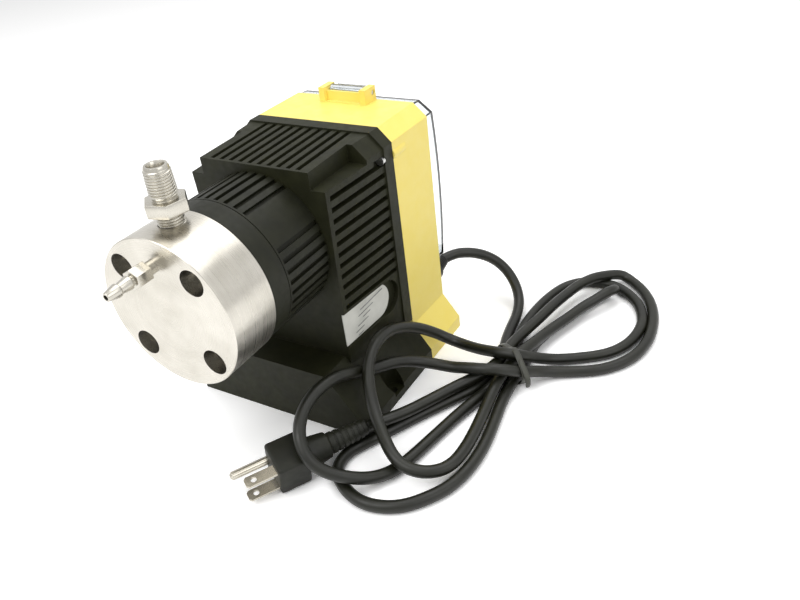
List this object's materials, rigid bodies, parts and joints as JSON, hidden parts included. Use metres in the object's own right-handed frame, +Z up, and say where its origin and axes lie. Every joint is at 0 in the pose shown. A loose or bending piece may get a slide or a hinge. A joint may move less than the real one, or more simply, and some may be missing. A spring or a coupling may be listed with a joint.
{
  "type": "diaphragm metering pump",
  "caption": "Solenoid diaphragm metering pump: round stainless liquid end, ribbed barrel, finned black box, yellow rear housing with a clear hinged cover, and a tied mains lead.",
  "frame": {"origin": "centre of the base's underside, on the surface that the pump stands on", "axes": "+Y along the pump axis from the liquid end to the control panel, +Z up, +X across to the side with the label and the mains lead"},
  "size_m": [0.2456, 0.3004, 0.1782],
  "materials": {
    "black_moulding": "satin moulded black plastic with a dark olive cast",
    "yellow_moulding": "satin moulded yellow plastic",
    "stainless": "turned and lightly polished stainless steel",
    "bright_fastener": "bright zinc or stainless fasteners",
    "polymer_seal": "black sealing rubber",
    "white_polymer": "white fluoropolymer",
    "ceramic_ball": "polished ceramic ball",
    "magnet_iron": "plain machined soft iron",
    "copper": "enamelled copper winding",
    "bushing_bronze": "sintered bronze bushing",
    "spring_steel": "spring wire",
    "panel_grey": "dark satin control panel",
    "knob_black": "satin black knobs",
    "board_green": "lacquered circuit board",
    "clear_cover": "clear polycarbonate",
    "lamp_red": "red lamp lens",
    "label_silver": "silver label foil",
    "cord_black": "black cord jacket with a soft sheen",
    "plug_black": "moulded black plug",
    "plug_metal": "nickel-plated blades"
  },
  "bodies": {
    "root": {"front_housing": "black_moulding", "solenoid_housing": "black_moulding", "adapter_ring": "black_moulding", "pump_head": "stainless", "head_screws": "bright_fastener", "discharge_fitting": "stainless", "discharge_seat": "white_polymer", "discharge_seal": "white_polymer", "suction_fitting": "stainless", "suction_seat": "white_polymer", "suction_seal": "white_polymer", "hose_barb": "stainless", "diaphragm": "white_polymer", "pole_piece": "magnet_iron", "shaft_bushing": "bushing_bronze", "coil_bobbin": "white_polymer", "solenoid_coil": "copper", "solenoid_can": "magnet_iron", "yoke_plate": "magnet_iron", "return_spring": "spring_steel", "stroke_bracket": "magnet_iron", "rear_housing": "yellow_moulding", "control_panel": "panel_grey", "circuit_board": "board_green", "speed_pot": "magnet_iron", "mode_switch": "bright_fastener", "pulse_lamp": "lamp_red", "pulse_connector": "knob_black", "hinge_pin": "bright_fastener", "corner_screws": "bright_fastener", "barrel_screws": "bright_fastener", "panel_screws": "bright_fastener", "strain_relief": "knob_black", "nameplate": "label_silver", "housing_gasket": "polymer_seal", "plug_body": "plug_black", "plug_blades": "plug_metal", "plug_earth_pin": "plug_metal", "cord_lead": "cord_black", "cord_plug_lead": "cord_black", "cord_loops": "cord_black", "cord_hank": "cord_black", "cord_tie": "cord_black"},
    "drive": {"armature": "magnet_iron", "drive_shaft": "stainless", "diaphragm_plate": "stainless"},
    "stroke_rod": {"stroke_screw": "stainless"},
    "stroke_knob": {"stroke_knob": "knob_black"},
    "speed_knob": {"speed_knob": "knob_black"},
    "switch_lever": {"switch_lever": "bright_fastener"},
    "discharge_ball": {"discharge_ball": "ceramic_ball"},
    "suction_ball": {"suction_ball": "ceramic_ball"},
    "panel_cover": {"panel_cover": "clear_cover"}
  },
  "joints": [
    {"name": "stroke", "type": "slide", "parent": "root", "child": "drive", "axis": [0, -1, 0], "range_m": [-0.00125, 0], "stiffness_N_per_m": 4000, "springref_m": -0.004, "deforming": ["return_spring", "diaphragm"]},
    {"name": "stroke_screw_travel", "type": "slide", "parent": "root", "child": "stroke_rod", "axis": [0, -1, 0], "range_m": [0, 0.00125]},
    {"name": "stroke_knob_turn", "type": "hinge", "parent": "stroke_rod", "child": "stroke_knob", "pos_m": [0, 0.05, 0.1081], "axis": [0, -1, 0], "range_deg": [0, 300]},
    {"name": "speed_knob_turn", "type": "hinge", "parent": "root", "child": "speed_knob", "pos_m": [-0.022, 0.05, 0.0721], "axis": [0, -1, 0], "range_deg": [0, 300]},
    {"name": "switch_tilt", "type": "hinge", "parent": "root", "child": "switch_lever", "pos_m": [0.022, 0.0465, 0.0721], "axis": [1, 0, 0], "range_deg": [-14, 14]},
    {"name": "discharge_lift", "type": "slide", "parent": "root", "child": "discharge_ball", "axis": [0, 0, 1], "range_m": [0, 0.0015]},
    {"name": "suction_lift", "type": "slide", "parent": "root", "child": "suction_ball", "axis": [0, 0, 1], "range_m": [0, 0.0015]},
    {"name": "cover_hinge", "type": "hinge", "parent": "root", "child": "panel_cover", "pos_m": [0, 0.0572, 0.1595], "axis": [1, 0, 0], "range_deg": [0, 110]}
  ],
  "couplings": [
    {"joint": "stroke_knob_turn", "follows": "stroke_screw_travel", "rad_per_m": 4188.8}
  ]
}
